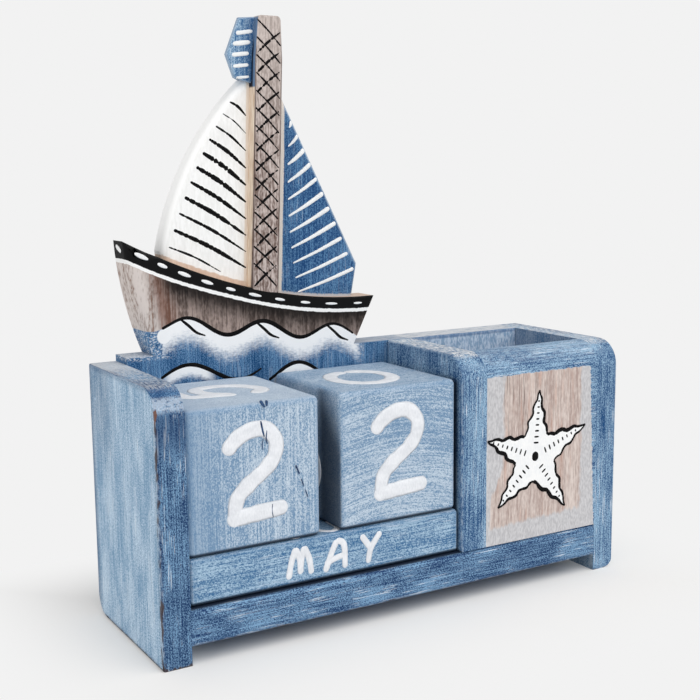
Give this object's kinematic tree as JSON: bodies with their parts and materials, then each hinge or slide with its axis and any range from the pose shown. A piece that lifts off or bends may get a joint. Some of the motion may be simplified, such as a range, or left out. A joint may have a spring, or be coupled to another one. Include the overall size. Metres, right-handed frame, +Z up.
{
  "type": "desk calendar with pencil box",
  "caption": "Wooden perpetual desk calendar: date cubes on square month bars in an open bay, beside a pencil well, in front of a back board carved as a sailboat.",
  "frame": {"origin": "bottom centre of the bounding box, on the desk under the middle of the case", "axes": "+X to the viewer's right, towards the pencil box; +Y from the cubes' fronts to the back board; +Z up the mast"},
  "size_m": [0.198, 0.0644, 0.22],
  "materials": {
    "washed_blue_wood": "washed paint, worn at the edges",
    "deep_blue_wood": "brushed paint, worn at the edges",
    "bare_wood": "sanded, part painted",
    "boat_paint": "hand painted over carving",
    "cube_paint": "dry-brushed paint",
    "bar_paint": "brushed paint",
    "brad_steel": "plain"
  },
  "bodies": {
    "case": {"left_side_panel": "washed_blue_wood", "right_side_panel": "washed_blue_wood", "base_board": "deep_blue_wood", "box_divider": "washed_blue_wood", "box_front_panel": "bare_wood", "boat_back_board": "boat_paint", "left_side_brads": "brad_steel", "right_side_brads": "brad_steel", "base_brads": "brad_steel"},
    "left_cube": {"date_cube_left": "cube_paint"},
    "right_cube": {"date_cube_right": "cube_paint"},
    "back_bar": {"month_bar_back": "bar_paint"},
    "middle_bar": {"month_bar_middle": "bar_paint"},
    "front_bar": {"month_bar_front": "bar_paint"}
  },
  "joints": [
    {"name": "left_cube_lift", "type": "slide", "parent": "case", "child": "left_cube", "axis": [0, 0, 1], "range_m": [0, 0.065]},
    {"name": "right_cube_lift", "type": "slide", "parent": "case", "child": "right_cube", "axis": [0, 0, 1], "range_m": [0, 0.065]},
    {"name": "back_bar_draw", "type": "slide", "parent": "case", "child": "back_bar", "axis": [0, -1, 0], "range_m": [0, 0.055]},
    {"name": "middle_bar_draw", "type": "slide", "parent": "back_bar", "child": "middle_bar", "axis": [0, -1, 0], "range_m": [0, 0.037]},
    {"name": "front_bar_draw", "type": "slide", "parent": "middle_bar", "child": "front_bar", "axis": [0, -1, 0], "range_m": [0, 0.021]}
  ]
}
